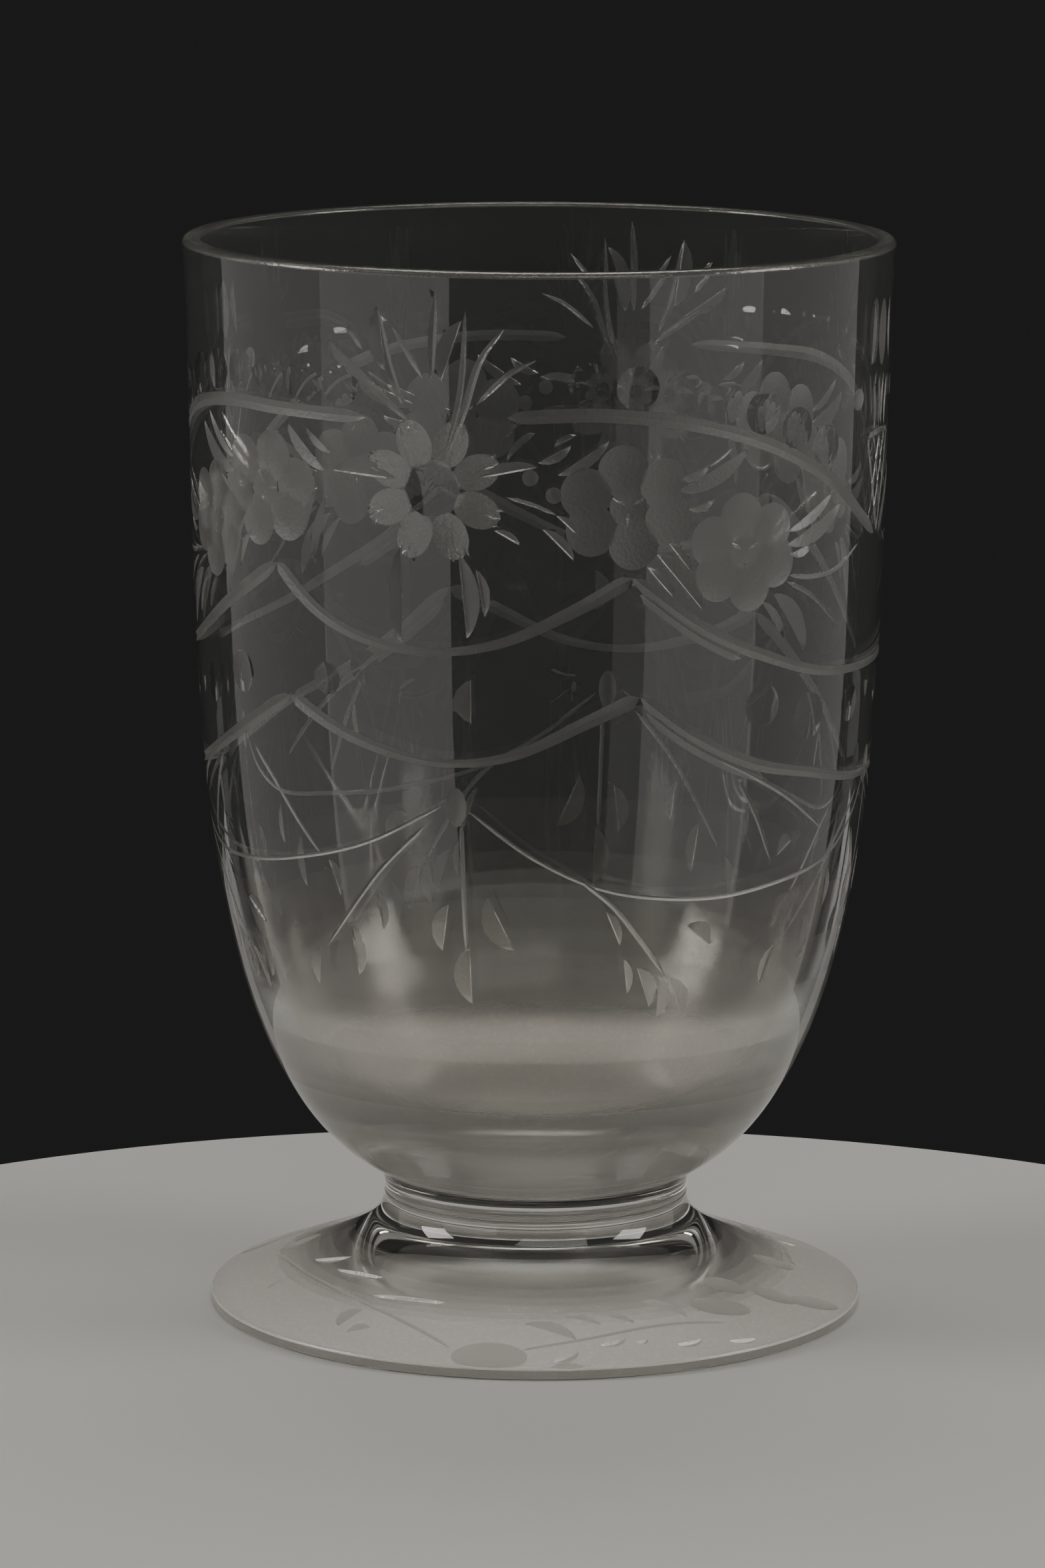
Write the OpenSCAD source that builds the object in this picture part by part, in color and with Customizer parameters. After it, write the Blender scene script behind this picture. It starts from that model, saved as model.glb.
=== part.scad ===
// Footed drinking tumbler of clear glass: a blown bowl, a joining collar and a spread foot.
// Origin at the centre of the resting face, +Z up, millimetres.

/* [Bowl] */
// Height of the whole tumbler
height = 110; // [100:1:125]
// Outside diameter at the rim
rim_d = 72; // [66:1:78]
// Wall thickness at the rim
rim_wall = 1.9; // [1.4:0.1:2.6]
// Outward flare of the lip over the straight wall
lip_flare = 0.2; // [0:0.05:0.5]
// Radius that the outside wall gains per millimetre of height
wall_slope = 0.024; // [0:0.004:0.04]
// Height where the outside wall starts to curve in
shoulder_z = 82; // [72:1:92]
// How early the outside turns in below the shoulder
belly = 2.87; // [2.4:0.05:3.4]
// How round the underside of the bowl is
heel = 3.18; // [2.6:0.05:3.6]
// Height of the glass floor inside
floor_z = 20.8; // [19.5:0.1:23]

/* [Foot] */
// Outside diameter of the foot
foot_d = 67; // [60:1:72]
// Height of the joint between foot and collar
foot_z = 11.5; // [10.5:0.25:12]
// Thickness of the foot at its outer edge
foot_edge = 1.3; // [1.1:0.1:1.8]
// Width of the ring that the foot rests on
rest_w = 1.5; // [1:0.1:2.5]
// Depth of the hollow under the foot
hollow_h = 3.8; // [2:0.1:4.5]

/* [Collar] */
// Height of the joint between collar and bowl
bowl_z = 14.1; // [13.5:0.1:14.5]
// Radius at the narrowest place
waist_r = 15.6; // [14.8:0.1:16]

/* [Hidden] */
round_n = 96;

lip_h = 8;
lip_outer_round = 0.6;
lip_inner_round = 0.4;
pole_z = bowl_z - 2.5;
inner_slope = 0.029;
inner_belly = 3.7;
inner_heel = 5.1;
curve_steps = 40;
arc_steps = 6;

foot_r = foot_d / 2;
edge_round = 0.45;
edge_slope = 0.37;
flare_reach = 13;
flare_drop = 3.9;
collar_round = 0.2;

// Wall line times a rounded end: the radius of a bowl-shaped surface at height z
function wall_r(z, top_r, slope, start_z, end_z, turn, close) =
    let (t = max(0, (start_z - z) / (start_z - end_z)))
    (top_r - slope * (height - z)) * pow(max(0, 1 - pow(t, turn)), 1 / close);
function outer_r(z) =
    wall_r(z, rim_d / 2 - lip_flare, wall_slope, shoulder_z, pole_z, belly, heel)
    + lip_flare * pow(max(0, (z - height + lip_h) / lip_h), 2);
function inner_r(z) =
    wall_r(z, rim_d / 2 - rim_wall, inner_slope, height, floor_z, inner_belly, inner_heel);

// Points of an arc from angle a0 to angle a1, and of a cubic curve
function arc(cx, cz, r, a0, a1, n) =
    [for (i = [0:n]) let (a = a0 + (a1 - a0) * i / n) [cx + r * cos(a), cz + r * sin(a)]];
function cubic(a, b, c, d, n) =
    [for (i = [0:n]) let (t = i / n, s = 1 - t)
        s * s * s * a + 3 * s * s * t * b + 3 * s * t * t * c + t * t * t * d];
// Heights from low to high, closer together near the low end
function heights(low, high, n) = [for (i = [0:n]) low + (high - low) * pow(i / n, 1.8)];

seat_r = outer_r(bowl_z);

// Blown bowl: thick floor, wall thinning to a ground and rounded lip
module bowl() {
    outer_top = height - lip_outer_round;
    inner_top = height - lip_inner_round;
    lip_out = outer_r(outer_top);
    lip_in = inner_r(inner_top);
    outside = [for (z = heights(bowl_z, outer_top, curve_steps)) [outer_r(z), z]];
    outer_edge = arc(lip_out - lip_outer_round, outer_top, lip_outer_round, 0, 90, arc_steps);
    inner_edge = arc(lip_in + lip_inner_round, inner_top, lip_inner_round, 90, 180, arc_steps);
    inside_up = [for (z = heights(floor_z, inner_top, curve_steps)) [inner_r(z), z]];
    inside = [for (i = [curve_steps - 1:-1:0]) inside_up[i]];
    edges = concat([for (i = [1:arc_steps]) outer_edge[i]], inner_edge);
    color([0.86, 0.88, 0.86, 0.45])
        rotate_extrude($fn = round_n)
            polygon(concat([[0, bowl_z]], outside, edges, inside));
}

// Joining collar: a short waisted button of glass between bowl and foot
module stem_collar() {
    low_edge = arc(waist_r - collar_round, foot_z + collar_round, collar_round, -90, 0, 3);
    side = cubic([waist_r, foot_z + collar_round], [waist_r - 0.05, foot_z + 1.2],
        [waist_r + 0.15, bowl_z - 0.6], [seat_r, bowl_z], 8);
    color([0.82, 0.84, 0.82, 0.45])
        rotate_extrude($fn = round_n)
            polygon(concat([[0, foot_z]], low_edge, [for (i = [1:8]) side[i]], [[0, bowl_z]]));
}

// Spread foot: flared from the collar to a thin edge, hollowed underneath, resting on a ring
module foot() {
    edge_z = foot_edge - edge_round / 2;
    top = cubic([waist_r, foot_z], [waist_r, foot_z - flare_drop],
        [foot_r - flare_reach, foot_edge + edge_slope * flare_reach], [foot_r - 0.1, foot_edge], 24);
    low_edge = arc(foot_r - edge_round, edge_round, edge_round, 0, -90, arc_steps);
    ring_r = foot_r - edge_round - rest_w;
    dome_r = (ring_r * ring_r + hollow_h * hollow_h) / (2 * hollow_h);
    color([0.9, 0.91, 0.89, 0.5])
        rotate_extrude($fn = round_n)
            difference() {
                polygon(concat([[0, foot_z]], top, [[foot_r, edge_z]], low_edge, [[0, 0]]));
                translate([0, hollow_h - dome_r]) circle(r = dome_r, $fn = 4 * round_n);
            }
}

bowl();
stem_collar();
foot();
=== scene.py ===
"""Looks of a footed tumbler of clear glass with wheel-cut flowers, swags and sprigs.

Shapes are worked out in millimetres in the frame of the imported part, and become metres when a mesh is made.
A place on the tumbler is (angle, height) or (angle, radius): angle 0 faces the camera, and angles
grow to its right.
"""

import math

import bpy
import numpy as np
from mathutils import Matrix, Vector
from mathutils.geometry import delaunay_2d_cdt


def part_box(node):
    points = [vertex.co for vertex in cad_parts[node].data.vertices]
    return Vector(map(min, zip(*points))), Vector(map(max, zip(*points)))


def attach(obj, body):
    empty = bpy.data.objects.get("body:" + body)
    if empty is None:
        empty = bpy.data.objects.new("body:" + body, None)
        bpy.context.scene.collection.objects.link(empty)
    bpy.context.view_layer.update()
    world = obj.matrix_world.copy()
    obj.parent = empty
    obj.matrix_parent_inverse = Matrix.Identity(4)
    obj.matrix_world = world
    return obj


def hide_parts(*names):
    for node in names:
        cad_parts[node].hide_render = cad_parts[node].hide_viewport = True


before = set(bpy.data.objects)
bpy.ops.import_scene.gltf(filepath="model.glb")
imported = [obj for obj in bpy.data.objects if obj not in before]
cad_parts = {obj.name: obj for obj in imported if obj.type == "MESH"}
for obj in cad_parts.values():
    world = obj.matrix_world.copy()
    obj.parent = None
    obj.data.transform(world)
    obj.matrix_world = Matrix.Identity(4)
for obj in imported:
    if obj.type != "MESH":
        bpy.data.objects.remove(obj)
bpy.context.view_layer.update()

# ---------------------------------------------------------------- sizes, in millimetres

MM = 0.001
bowl_low, bowl_high = (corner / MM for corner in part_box("bowl"))
collar_low, collar_high = (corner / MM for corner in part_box("stem_collar"))
_, foot_high = (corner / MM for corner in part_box("foot"))

HEIGHT = bowl_high.z
LIP_R = bowl_high.x
SEAT_Z = bowl_low.z
SEAT_R = collar_high.x
WAIST_Z = collar_low.z
FOOT_R = foot_high.x

# Bowl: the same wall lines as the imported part
LIP_ROUND_OUT = 0.6
LIP_ROUND_IN = 0.4
LIP_TOP_OUT = HEIGHT - LIP_ROUND_OUT
LIP_TOP_IN = HEIGHT - LIP_ROUND_IN
RIM_WALL = 1.9
FLARE = 0.2
FLARE_H = 8
WALL_SLOPE = 0.024
WALL_TOP_R = LIP_R - FLARE * (1 - LIP_ROUND_OUT / FLARE_H) ** 2 + WALL_SLOPE * LIP_ROUND_OUT
SHOULDER_Z = 82
POLE_Z = SEAT_Z - 2.5
BELLY = 2.87
HEEL = 3.18
FLOOR_Z = 20.8
INNER_TOP_R = WALL_TOP_R + FLARE - RIM_WALL
INNER_SLOPE = 0.029
INNER_BELLY = 3.7
INNER_HEEL = 5.1
INNER_TURN_R = 26

# Collar and foot
WAIST_R = 15.6
COLLAR_ROUND = 0.2
FOOT_EDGE = 1.3
EDGE_ROUND = 0.45
EDGE_SLOPE = 0.37
FLARE_REACH = 13
FLARE_DROP = 3.9
REST_W = 1.5
HOLLOW_H = 3.8

# Mesh: columns round the axis, and the angle where they and the half turn of ornament start
COLUMNS = 240
STEP = 360 / COLUMNS
SEAM = -76
MIDDLE = SEAM + 90
# The ornament is drawn on a flat sheet: this many millimetres of it are one degree
SHEET = 0.62
SHEET_ROWS = 77
FOOT_RINGS = 15
# Where the engraved part of the bowl starts, and that of the foot
CUT_LOW_Z = 33
CUT_IN_R = 18.6
# Free points keep out of cells of this size that hold a point of a border or cut
SEED_CELL = 0.45
# Closer than this, points are one: on the sheet, and on the finished piece
SAME_POINT = 1e-4
WELD = 2e-4
# How far inside its triangle the direction of a corner is read
CREASE_GAP = 0.035

# Material slots, the same on every piece
# The third slot is the cut finish made smoother, and also lighter and more scattering: a painted highlight of
# faces that catch the light
CLEAR, CUT, PAINTED_LIT, GROUND, JOINT, HAZE = range(6)
HAZE_STEPS = 8

# Where the film of dust starts and where it is fullest: heights in the bowl, radii on the foot
BOWL_HAZE = (54, 22)
FOOT_HAZE = (14, 27)
# Above 1 the film grows slowly at first
HAZE_CURVE = 1.9


# ---------------------------------------------------------------- profiles

def wall_r(z, top_r, slope, start_z, end_z, turn, close):
    t = np.maximum(0, (start_z - z) / (start_z - end_z))
    return (top_r - slope * (HEIGHT - z)) * np.maximum(0, 1 - t ** turn) ** (1 / close)


def outer_r(z):
    lip = np.maximum(0, (z - HEIGHT + FLARE_H) / FLARE_H)
    return wall_r(z, WALL_TOP_R, WALL_SLOPE, SHOULDER_Z, POLE_Z, BELLY, HEEL) + FLARE * lip ** 2


def inner_r(z):
    return wall_r(z, INNER_TOP_R, INNER_SLOPE, HEIGHT, FLOOR_Z, INNER_BELLY, INNER_HEEL)


def inner_z(r):
    """Height of the inside surface at radius r, near the glass floor."""
    z = np.full_like(r, FLOOR_Z)
    for _ in range(8):
        wall = INNER_TOP_R - INNER_SLOPE * (HEIGHT - z)
        z = HEIGHT - (HEIGHT - FLOOR_Z) * (1 - (r / wall) ** INNER_HEEL) ** (1 / INNER_BELLY)
    return z


def arc(centre, radius, start, end, steps=6):
    turn = np.radians(np.linspace(start, end, steps + 1))
    return np.array(centre) + radius * np.stack([np.cos(turn), np.sin(turn)], 1)


def cubic(a, b, c, d, steps):
    t = np.linspace(0, 1, steps + 1)[:, None]
    s = 1 - t
    a, b, c, d = (np.array(p, float) for p in (a, b, c, d))
    return s ** 3 * a + 3 * s * s * t * b + 3 * s * t * t * c + t ** 3 * d


def heights(low, high, steps, bunch):
    """Heights from low to high, closer together near low."""
    return low + (high - low) * np.linspace(0, 1, steps + 1) ** bunch


# The top of the foot, from its waist to just inside its edge
TOP_END_GAP = 0.1
TOP_STEPS = 400
FOOT_TOP = cubic((WAIST_R, WAIST_Z),
                 (WAIST_R, WAIST_Z - FLARE_DROP),
                 (FOOT_R - FLARE_REACH, FOOT_EDGE + EDGE_SLOPE * FLARE_REACH),
                 (FOOT_R - TOP_END_GAP, FOOT_EDGE), TOP_STEPS)


def foot_z(r):
    return np.interp(r, FOOT_TOP[:, 0], FOOT_TOP[:, 1])


# The polished upper corner of the foot's edge: its radius, how far it turns, and where it meets the top
EDGE_SOFT = 0.35
EDGE_TURN = math.pi / 2 - math.atan(EDGE_SLOPE)
EDGE_TOP_R = FOOT_R - EDGE_SOFT * (1 - math.cos(EDGE_TURN))


def foot_slope(r):
    return (foot_z(r + 0.1) - foot_z(r - 0.1)) / 0.2


# ---------------------------------------------------------------- wheel cuts

class Cut:
    """One cut of the engraver's wheel: outline, creases inside it, depth at any point, and finish."""

    def __init__(self, outline, creases, depth, finish):
        self.outline = outline
        self.creases = creases
        self.depth = depth
        self.finish = finish
        self.low = outline.min(0)
        self.high = outline.max(0)

    def shifted(self, dx):
        move = np.array([dx, 0.0])
        return Cut(self.outline + move, [c + move for c in self.creases],
                   lambda p: self.depth(p - move), lambda p: self.finish(p - move))


def matte(p):
    return np.full(len(p), CUT)


# The lighter painted-lit finish for a whole cut: a painted highlight
def painted_lit_finish(p):
    return np.full(len(p), PAINTED_LIT)


def clear(p):
    return np.full(len(p), CLEAR)


def frame_of(start, end):
    """Unit vectors along and to the left of the way from start to end, and its length."""
    way = end - start
    length = np.hypot(*way)
    along = way / length
    return along, np.array([-along[1], along[0]]), length


def dish(start, end, width, depth, finish=matte, steps=24):
    """A round or oval hollow whose long axis runs from start to end."""
    along, left, length = frame_of(start, end)
    centre = (start + end) / 2
    axes = np.stack([along * length / 2, left * width / 2])
    turn = np.linspace(0, 2 * math.pi, steps, endpoint=False)
    circle = np.stack([np.cos(turn), np.sin(turn)], 1)
    scale = np.array([length / 2, width / 2])

    def depth_at(p):
        q = (p - centre) @ np.stack([along, left], 1) / scale
        return depth * np.maximum(0, 1 - (q ** 2).sum(1))

    inner = centre + 0.6 * circle[::2] @ axes
    core = centre + 0.25 * circle[::4] @ axes
    creases = [np.vstack([inner, inner[:1]]), np.vstack([core, core[:1]])]
    return Cut(centre + circle @ axes, creases, depth_at, finish)


# A half-moon leaf: how wide its steep edge is, and how full its belly
LEAF_BITE = 0.13
LEAF_FULLNESS = 0.75


def leaf(start, end, width, depth=0.29):
    """A half-moon cut with the wheel held aslant: a steep edge from start to end in the lighter painted-lit
    finish, a painted highlight, and a matte face that rises to a belly on the left, or on the right where
    width is below 0."""
    along, left, length = frame_of(start, end)
    side = left * math.copysign(1, width)
    width = abs(width)
    steps = max(6, int(length / 0.7))

    def belly(s):
        return width * np.maximum(0, 4 * s * (1 - s)) ** LEAF_FULLNESS

    def split(p):
        q = p - start
        return q @ along / length, q @ side

    def depth_at(p):
        s, n = split(p)
        reach = belly(np.clip(s, 0, 1))
        fall = (reach - n) / np.maximum(reach - LEAF_BITE, 0.02)
        return depth * np.sqrt(reach / width) * np.clip(np.minimum(n / LEAF_BITE, fall), 0, 1)

    # The steep edge is painted lit with the lighter finish, a painted highlight; the rest of the leaf is
    # matte
    def finish_at(p):
        return np.where(split(p)[1] < LEAF_BITE, PAINTED_LIT, CUT)

    s = (1 - np.cos(np.linspace(0, math.pi, steps + 1))) / 2
    edge = start + s[:, None] * along * length
    curve = edge + belly(s)[:, None] * side
    crease = edge[1:-1] + LEAF_BITE * side
    middle = edge[2:-2] + 0.55 * belly(s[2:-2])[:, None] * side
    return Cut(np.vstack([edge, curve[-2:0:-1]]), [crease, middle], depth_at, finish_at)


def through(points, spacing=0.9):
    """A smooth curve through given points."""
    p = np.vstack([2 * points[0] - points[1], points, 2 * points[-1] - points[-2]])
    out = [points[:1]]
    for a, b, c, d in zip(p, p[1:], p[2:], p[3:]):
        steps = max(1, int(round(np.hypot(*(c - b)) / spacing)))
        t = np.linspace(0, 1, steps + 1)[1:, None]
        out.append(0.5 * (2 * b + (c - a) * t + (2 * a - 5 * b + 4 * c - d) * t ** 2
                          + (3 * b - a - 3 * c + d) * t ** 3))
    return np.vstack(out)


def groove(points, width, depth, taper=(0.25, 0.25), finish=matte, ridge=0.5, waist=1):
    """A V-shaped cut along a curve; taper says how much of its length narrows at each end,
    and waist how wide it is halfway, as a share of its width.
    ridge is where across the width its deepest line runs, from 0 at the right to 1 at the left.
    A finish of None gives the face on the left of the ridge the lighter painted-lit finish, a painted
    highlight of a lit face, and the one on its right the matte finish."""
    line = through(np.array(points, float))
    run = np.concatenate([[0], np.cumsum(np.hypot(*np.diff(line, axis=0).T))])
    run /= run[-1]
    way = np.gradient(line, axis=0)
    way /= np.hypot(*way.T)[:, None]
    left = np.stack([-way[:, 1], way[:, 0]], 1)

    def shape(s):
        rise = np.clip(s / max(taper[0], 1e-3), 0, 1)
        fall = np.clip((1 - s) / max(taper[1], 1e-3), 0, 1)
        return np.sqrt(rise * fall) * (waist + (1 - waist) * abs(2 * s - 1) ** 1.3)

    half = shape(run) * width / 2

    def near(p):
        """How far along the nearest place on the line is, and how far p lies to its left."""
        best = np.full(len(p), 1e9)
        s = np.zeros(len(p))
        off = np.zeros(len(p))
        for k in range(len(line) - 1):
            step = line[k + 1] - line[k]
            t = np.clip((p - line[k]) @ step / (step @ step), 0, 1)
            gap = p - line[k] - t[:, None] * step
            far = (gap ** 2).sum(1)
            closer = far < best
            best[closer] = far[closer]
            s[closer] = (run[k] + t * (run[k + 1] - run[k]))[closer]
            off[closer] = (step[0] * gap[:, 1] - step[1] * gap[:, 0])[closer] / np.hypot(*step)
        return s, off

    def depth_at(p):
        s, off = near(p)
        reach = np.maximum(shape(s) * width / 2, 0.01)
        across = (off / reach + 1) / 2
        v = np.minimum(across / ridge, (1 - across) / (1 - ridge))
        return depth * np.sqrt(np.maximum(shape(s), 0)) * np.clip(v, 0, 1)

    # Left of the ridge the lighter painted-lit finish, a painted highlight of the lit face; right of it the
    # matte finish
    def painted_lit_and_matte_faces(p):
        s, off = near(p)
        return np.where(off > (2 * ridge - 1) * shape(s) * width / 2, PAINTED_LIT, CUT)

    outline = np.vstack([line + half[:, None] * left, (line - half[:, None] * left)[-2:0:-1]])
    spine = line[1:-1] + ((2 * ridge - 1) * half[1:-1])[:, None] * left[1:-1]
    return Cut(outline, [spine], depth_at, finish or painted_lit_and_matte_faces)


def cut_depth(cuts, p):
    """The depth of the deepest cut at each point, and the number of that cut, or -1."""
    depth = np.zeros(len(p))
    owner = np.full(len(p), -1)
    for number, cut in enumerate(cuts):
        near = np.flatnonzero(((p >= cut.low) & (p <= cut.high)).all(1))
        if len(near) == 0:
            continue
        here = cut.depth(p[near])
        deeper = here > depth[near] + 1e-6
        depth[near[deeper]] = here[deeper]
        owner[near[deeper]] = number
    return depth, owner


def cut_slope(cuts, p, step=0.012):
    """How fast the depth changes in both directions of the sheet."""
    slope = np.zeros((len(p), 2))
    for axis in (0, 1):
        move = np.zeros(2)
        move[axis] = step
        slope[:, axis] = (cut_depth(cuts, p + move)[0] - cut_depth(cuts, p - move)[0]) / (2 * step)
    return slope


def cut_finish(cuts, p):
    """Material slot at each point: that of the deepest cut there, or clear glass."""
    owner = cut_depth(cuts, p)[1]
    slots = np.full(len(p), CLEAR)
    for number in np.unique(owner[owner >= 0]):
        mine = owner == number
        slots[mine] = cuts[number].finish(p[mine])
    return slots


def triangulate(borders, seeds, cuts, inside):
    """Triangles that follow every border, outline and crease: their points, and triples of numbers."""
    points = []
    edges = []

    def chain(line, closed):
        base = len(points)
        points.extend(line)
        edges.extend((base + k, base + k + 1) for k in range(len(line) - 1))
        if closed:
            edges.append((base + len(line) - 1, base))

    for border, closed in borders:
        chain(border, closed)
    for cut in cuts:
        chain(cut.outline, True)
        for crease in cut.creases:
            if len(crease) > 1:
                chain(crease, False)
    taken = set(map(tuple, np.floor(np.array(points) / SEED_CELL).astype(int)))
    free = [tuple(c) not in taken for c in np.floor(seeds / SEED_CELL).astype(int)]
    points.extend(seeds[free])
    flat, _, tris, source, _, _ = delaunay_2d_cdt(
        [Vector(p) for p in points], edges, [], 0, SAME_POINT, True)
    exact = np.array([points[s[0]] if s else tuple(v) for v, s in zip(flat, source)])
    tris = np.array(tris)
    keep = inside(exact[tris].mean(1))
    return exact, tris[keep]


# ---------------------------------------------------------------- surfaces and pieces

class Skin:
    """Patches of one piece's surface, joined into one mesh at the end."""

    def __init__(self):
        self.points = []
        self.faces = []
        self.count = 0

    def add(self, points, faces, normals, slots):
        for corners, directions, slot in zip(faces, normals, slots):
            self.faces.append(([c + self.count for c in corners], directions, int(slot)))
        self.points.append(points)
        self.count += len(points)

    def lathe(self, profile, normals, slot, sunk=0):
        """Turns a profile round the axis; the surface faces the profile's right-hand side.
        slot is one for all rows of faces or one for each, and sunk is how far points lie lower."""
        rows = len(profile)
        points = np.vstack([around(a, profile) for a in column_angles()])
        facing = np.vstack([around(a, normals) for a in column_angles()])
        points[:, 2] -= sunk
        slots = np.broadcast_to(slot, rows - 1)
        faces = []
        for i in range(COLUMNS):
            a = i * rows
            b = (i + 1) % COLUMNS * rows
            faces.extend((a + j, b + j, b + j + 1, a + j + 1) for j in range(rows - 1))
        self.add(points, faces, [facing[list(f)] for f in faces], np.tile(slots, COLUMNS))

    def piece(self, name, node, engraving=None, film=None):
        """One mesh object that stands for the CAD node; finish_of says what engraving and film are."""
        points = np.vstack(self.points)
        _, first, index = np.unique(np.round(points / WELD).astype(np.int64), axis=0,
                                    return_index=True, return_inverse=True)
        index = index.ravel()
        faces = []
        normals = []
        slots = []
        for corners, directions, slot in self.faces:
            ring = [int(index[c]) for c in corners]
            keep = [k for k in range(len(ring)) if ring[k] != ring[k - 1]]
            if len(keep) < 3:
                continue
            faces.append([ring[k] for k in keep])
            normals.extend(tuple(directions[k]) for k in keep)
            slots.append(slot)
        mesh = bpy.data.meshes.new(name)
        mesh.from_pydata((points[first] * MM).tolist(), [], faces)
        used, numbers = np.unique(slots, return_inverse=True)
        for slot in used:
            mesh.materials.append(finish_of(slot, node, engraving, film))
        mesh.polygons.foreach_set("material_index", numbers)
        mesh.polygons.foreach_set("use_smooth", [True] * len(faces))
        mesh.normals_split_custom_set(normals)
        mesh.update()
        obj = bpy.data.objects.new(name, mesh)
        bpy.context.scene.collection.objects.link(obj)
        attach(obj, "root")
        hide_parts(node)


def column_angles():
    return np.radians(SEAM + STEP * np.arange(COLUMNS))


def around(angle, pairs):
    """Places (outward, up) pairs at an angle round the axis."""
    return np.stack([pairs[:, 0] * np.sin(angle), -pairs[:, 0] * np.cos(angle), pairs[:, 1]], 1)


def right_of(profile, before=None, after=None):
    """Unit normals on the right-hand side of a profile; before and after are its neighbours."""
    first = 2 * profile[0] - profile[1] if before is None else before
    last = 2 * profile[-1] - profile[-2] if after is None else after
    line = np.vstack([first, profile, last])
    way = line[2:] - line[:-2]
    way /= np.hypot(*way.T)[:, None]
    return np.stack([way[:, 1], -way[:, 0]], 1)


def outer_frame(z):
    """Slope of the outside wall at height z, and the length of a one millimetre rise along it."""
    slope = (outer_r(z + 0.01) - outer_r(z - 0.01)) / 0.02
    return slope, np.hypot(1, slope)


def outer_normals(z):
    slope, length = outer_frame(z)
    return np.stack([1 / length, -slope / length], 1)


def sheet_angles(sheet):
    return np.radians(MIDDLE + sheet[:, 0] / SHEET)


def on_bowl(sheet, depth):
    """Places of sheet points on the bowl, cut in to their depth."""
    z = sheet[:, 1]
    wall = np.stack([outer_r(z), z], 1)
    return around(sheet_angles(sheet), wall - depth[:, None] * outer_normals(z))


def bowl_normals(sheet, gradient):
    """Directions of the engraved bowl at sheet points, from how the depth changes there."""
    z = sheet[:, 1]
    angle = sheet_angles(sheet)
    slope, length = outer_frame(z)
    across = gradient[:, 0] * SHEET / (outer_r(z) * math.pi / 180)
    rising = gradient[:, 1] / length
    uphill = np.stack([slope, np.ones_like(slope)], 1)
    normal = around(angle, outer_normals(z) + rising[:, None] * uphill / length[:, None])
    normal += across[:, None] * np.stack([np.cos(angle), np.sin(angle), 0 * angle], 1)
    return normal / np.linalg.norm(normal, axis=1)[:, None]


def on_foot(sheet, depth):
    r = np.hypot(*sheet.T)
    return np.stack([sheet[:, 0], sheet[:, 1], foot_z(r) - depth], 1)


def foot_normals(sheet, gradient):
    r = np.hypot(*sheet.T)
    fall = foot_slope(r) / r
    normal = np.stack([gradient[:, 0] - fall * sheet[:, 0], gradient[:, 1] - fall * sheet[:, 1],
                       np.ones(len(r))], 1)
    return normal / np.linalg.norm(normal, axis=1)[:, None]


def corners_of(sheet, tris):
    """The corners of all triangles, each pulled a little into its triangle, so that creases stay crisp."""
    corner = sheet[tris]
    inward = corner.mean(1, keepdims=True) - corner
    reach = np.linalg.norm(inward, axis=2, keepdims=True)
    pull = np.clip(CREASE_GAP / np.maximum(reach, 1e-6), 0.12, 1)
    return (corner + pull * inward).reshape(-1, 2)


def steadied(points, tris, normals):
    """The normals, with a triangle's own wherever a crease between two cuts makes them disagree with it."""
    a, b, c = (points[tris[:, k]] for k in range(3))
    flat = np.cross(b - a, c - a)
    flat /= np.maximum(np.linalg.norm(flat, axis=1, keepdims=True), 1e-12)
    agree = (normals * flat[:, None]).sum(2, keepdims=True) > 0.9
    return np.where(agree, normals, flat[:, None])


def add_engraved_bowl(skin, cuts):
    """The outside wall with the ornament: one half is worked out, and turned round for the other."""
    half = 90 * SHEET
    period = 180 * SHEET
    reach = half + 2
    low, high = CUT_LOW_Z, LIP_TOP_OUT
    copies = [c.shifted(k * period) for k in (-1, 0, 1) for c in cuts]
    copies = [c for c in copies if c.low[0] < reach and c.high[0] > -reach]
    columns = np.linspace(-half, half, COLUMNS // 2 + 1)
    rows = np.linspace(low, high, SHEET_ROWS)
    border = [(np.stack([columns, 0 * columns + low], 1), False),
              (np.stack([columns, 0 * columns + high], 1), False),
              (np.stack([0 * rows - half, rows], 1), False),
              (np.stack([0 * rows + half, rows], 1), False)]
    width = columns[1] - columns[0]
    seeds = np.array([(x + (k % 2) * width / 2, z)
                      for k, z in enumerate(rows[1:-1]) for x in columns[1:-1]])
    seeds = seeds[seeds[:, 0] < half - 0.3 * width]

    def inside(p):
        return (abs(p[:, 0]) < half) & (p[:, 1] > low) & (p[:, 1] < high)

    sheet, tris = triangulate(border, seeds, copies, inside)
    points = on_bowl(sheet, cut_depth(copies, sheet)[0])
    left = np.flatnonzero(abs(sheet[:, 0] + half) < 10 * SAME_POINT)
    right = np.flatnonzero(abs(sheet[:, 0] - half) < 10 * SAME_POINT)
    left = left[np.argsort(sheet[left, 1])]
    right = right[np.argsort(sheet[right, 1])]
    if len(left) != len(right):
        raise RuntimeError("the two ends of the ornament differ")
    points[right] = points[left] * (-1, -1, 1)
    pulled = corners_of(sheet, tris)
    normals = steadied(points, tris, bowl_normals(pulled, cut_slope(copies, pulled)).reshape(-1, 3, 3))
    slots = cut_finish(copies, sheet[tris].mean(1))
    skin.add(points, tris.tolist(), normals, slots)
    skin.add(points * (-1, -1, 1), tris.tolist(), normals * (-1, -1, 1), slots)


# ---------------------------------------------------------------- ornament of the bowl

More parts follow.
